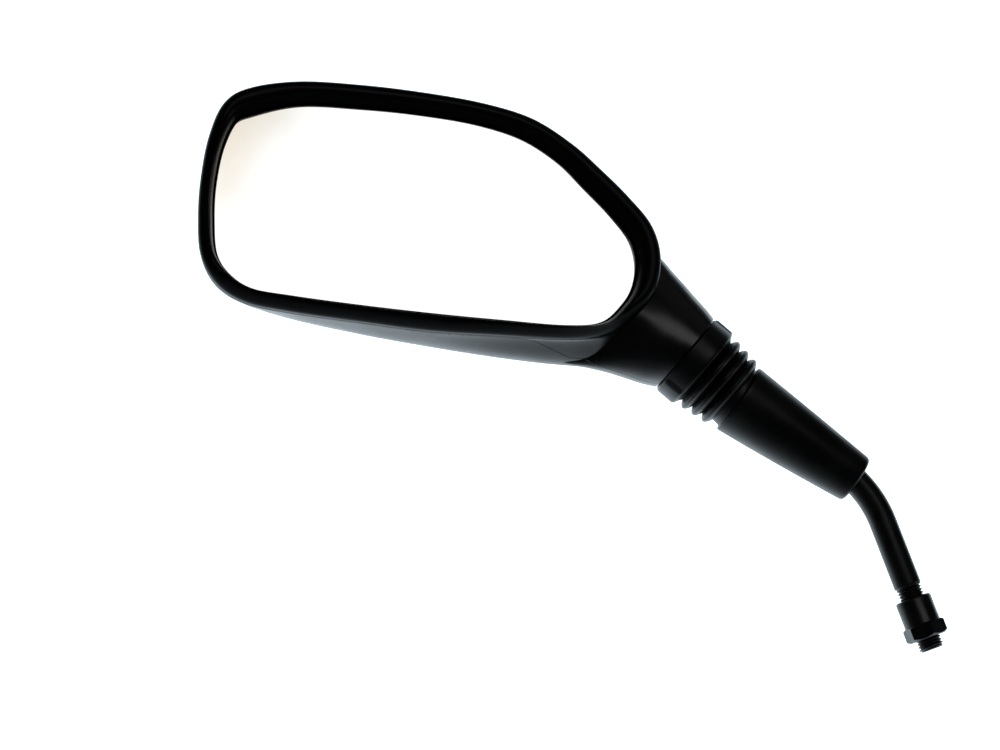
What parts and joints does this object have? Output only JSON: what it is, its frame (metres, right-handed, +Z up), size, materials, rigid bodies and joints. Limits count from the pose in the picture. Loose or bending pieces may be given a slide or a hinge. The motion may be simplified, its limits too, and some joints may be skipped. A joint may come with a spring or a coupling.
{
  "type": "motorcycle mirror",
  "caption": "Left motorcycle mirror: convex glass in a black two-part head on a ball joint under a ribbed rubber boot, with a bent threaded stem and lock nut.",
  "frame": {"origin": "centre of the lock nut's seat face, on the axis of the stem's thread", "axes": "+Z up as in use, the glass faces -Y, toward the rider, and +X runs from the head toward the stem"},
  "size_m": [0.3032, 0.04, 0.2197],
  "materials": {
    "black_steel": "satin black coated steel",
    "bare_steel": "zinc-plated steel",
    "boot_rubber": "smooth black rubber",
    "seat_plastic": "natural nylon",
    "insert_brass": "turned brass",
    "housing_plastic": "smooth black plastic with a soft gloss",
    "mirror": "silvered convex glass",
    "pad_foam": "closed-cell foam"
  },
  "bodies": {
    "stem": {"stem": "black_steel", "ball": "bare_steel"},
    "lock_nut": {"lock_nut": "black_steel"},
    "boot": {"boot": "boot_rubber"},
    "ball_seat": {"seat_front": "seat_plastic", "seat_back": "seat_plastic"},
    "head": {"clamp_front": "bare_steel", "clamp_back": "bare_steel", "clamp_screws": "bare_steel", "clamp_washers": "bare_steel", "clamp_inserts": "insert_brass", "back_cover": "housing_plastic", "front_frame": "housing_plastic", "mirror_glass": "mirror", "glass_pad": "pad_foam", "housing_screws": "bare_steel"}
  },
  "joints": [
    {"name": "nut_travel", "type": "slide", "parent": "stem", "child": "lock_nut", "axis": [-0.342, 0, 0.9397], "range_m": [-0.0035, 0.013]},
    {"name": "head_swivel", "type": "hinge", "parent": "stem", "child": "boot", "pos_m": [-0.10642, 0, 0.12048], "axis": [-0.8111, 0, 0.585], "range_deg": [-25, 25]},
    {"name": "head_tilt", "type": "hinge", "parent": "boot", "child": "ball_seat", "pos_m": [-0.10642, 0, 0.12048], "axis": [0.585, 0, 0.8111], "range_deg": [-12, 12], "deforming": ["boot"]},
    {"name": "head_swing", "type": "hinge", "parent": "ball_seat", "child": "head", "pos_m": [-0.10642, 0, 0.12048], "axis": [0, 1, 0], "range_deg": [-12, 12], "deforming": ["boot"]}
  ]
}
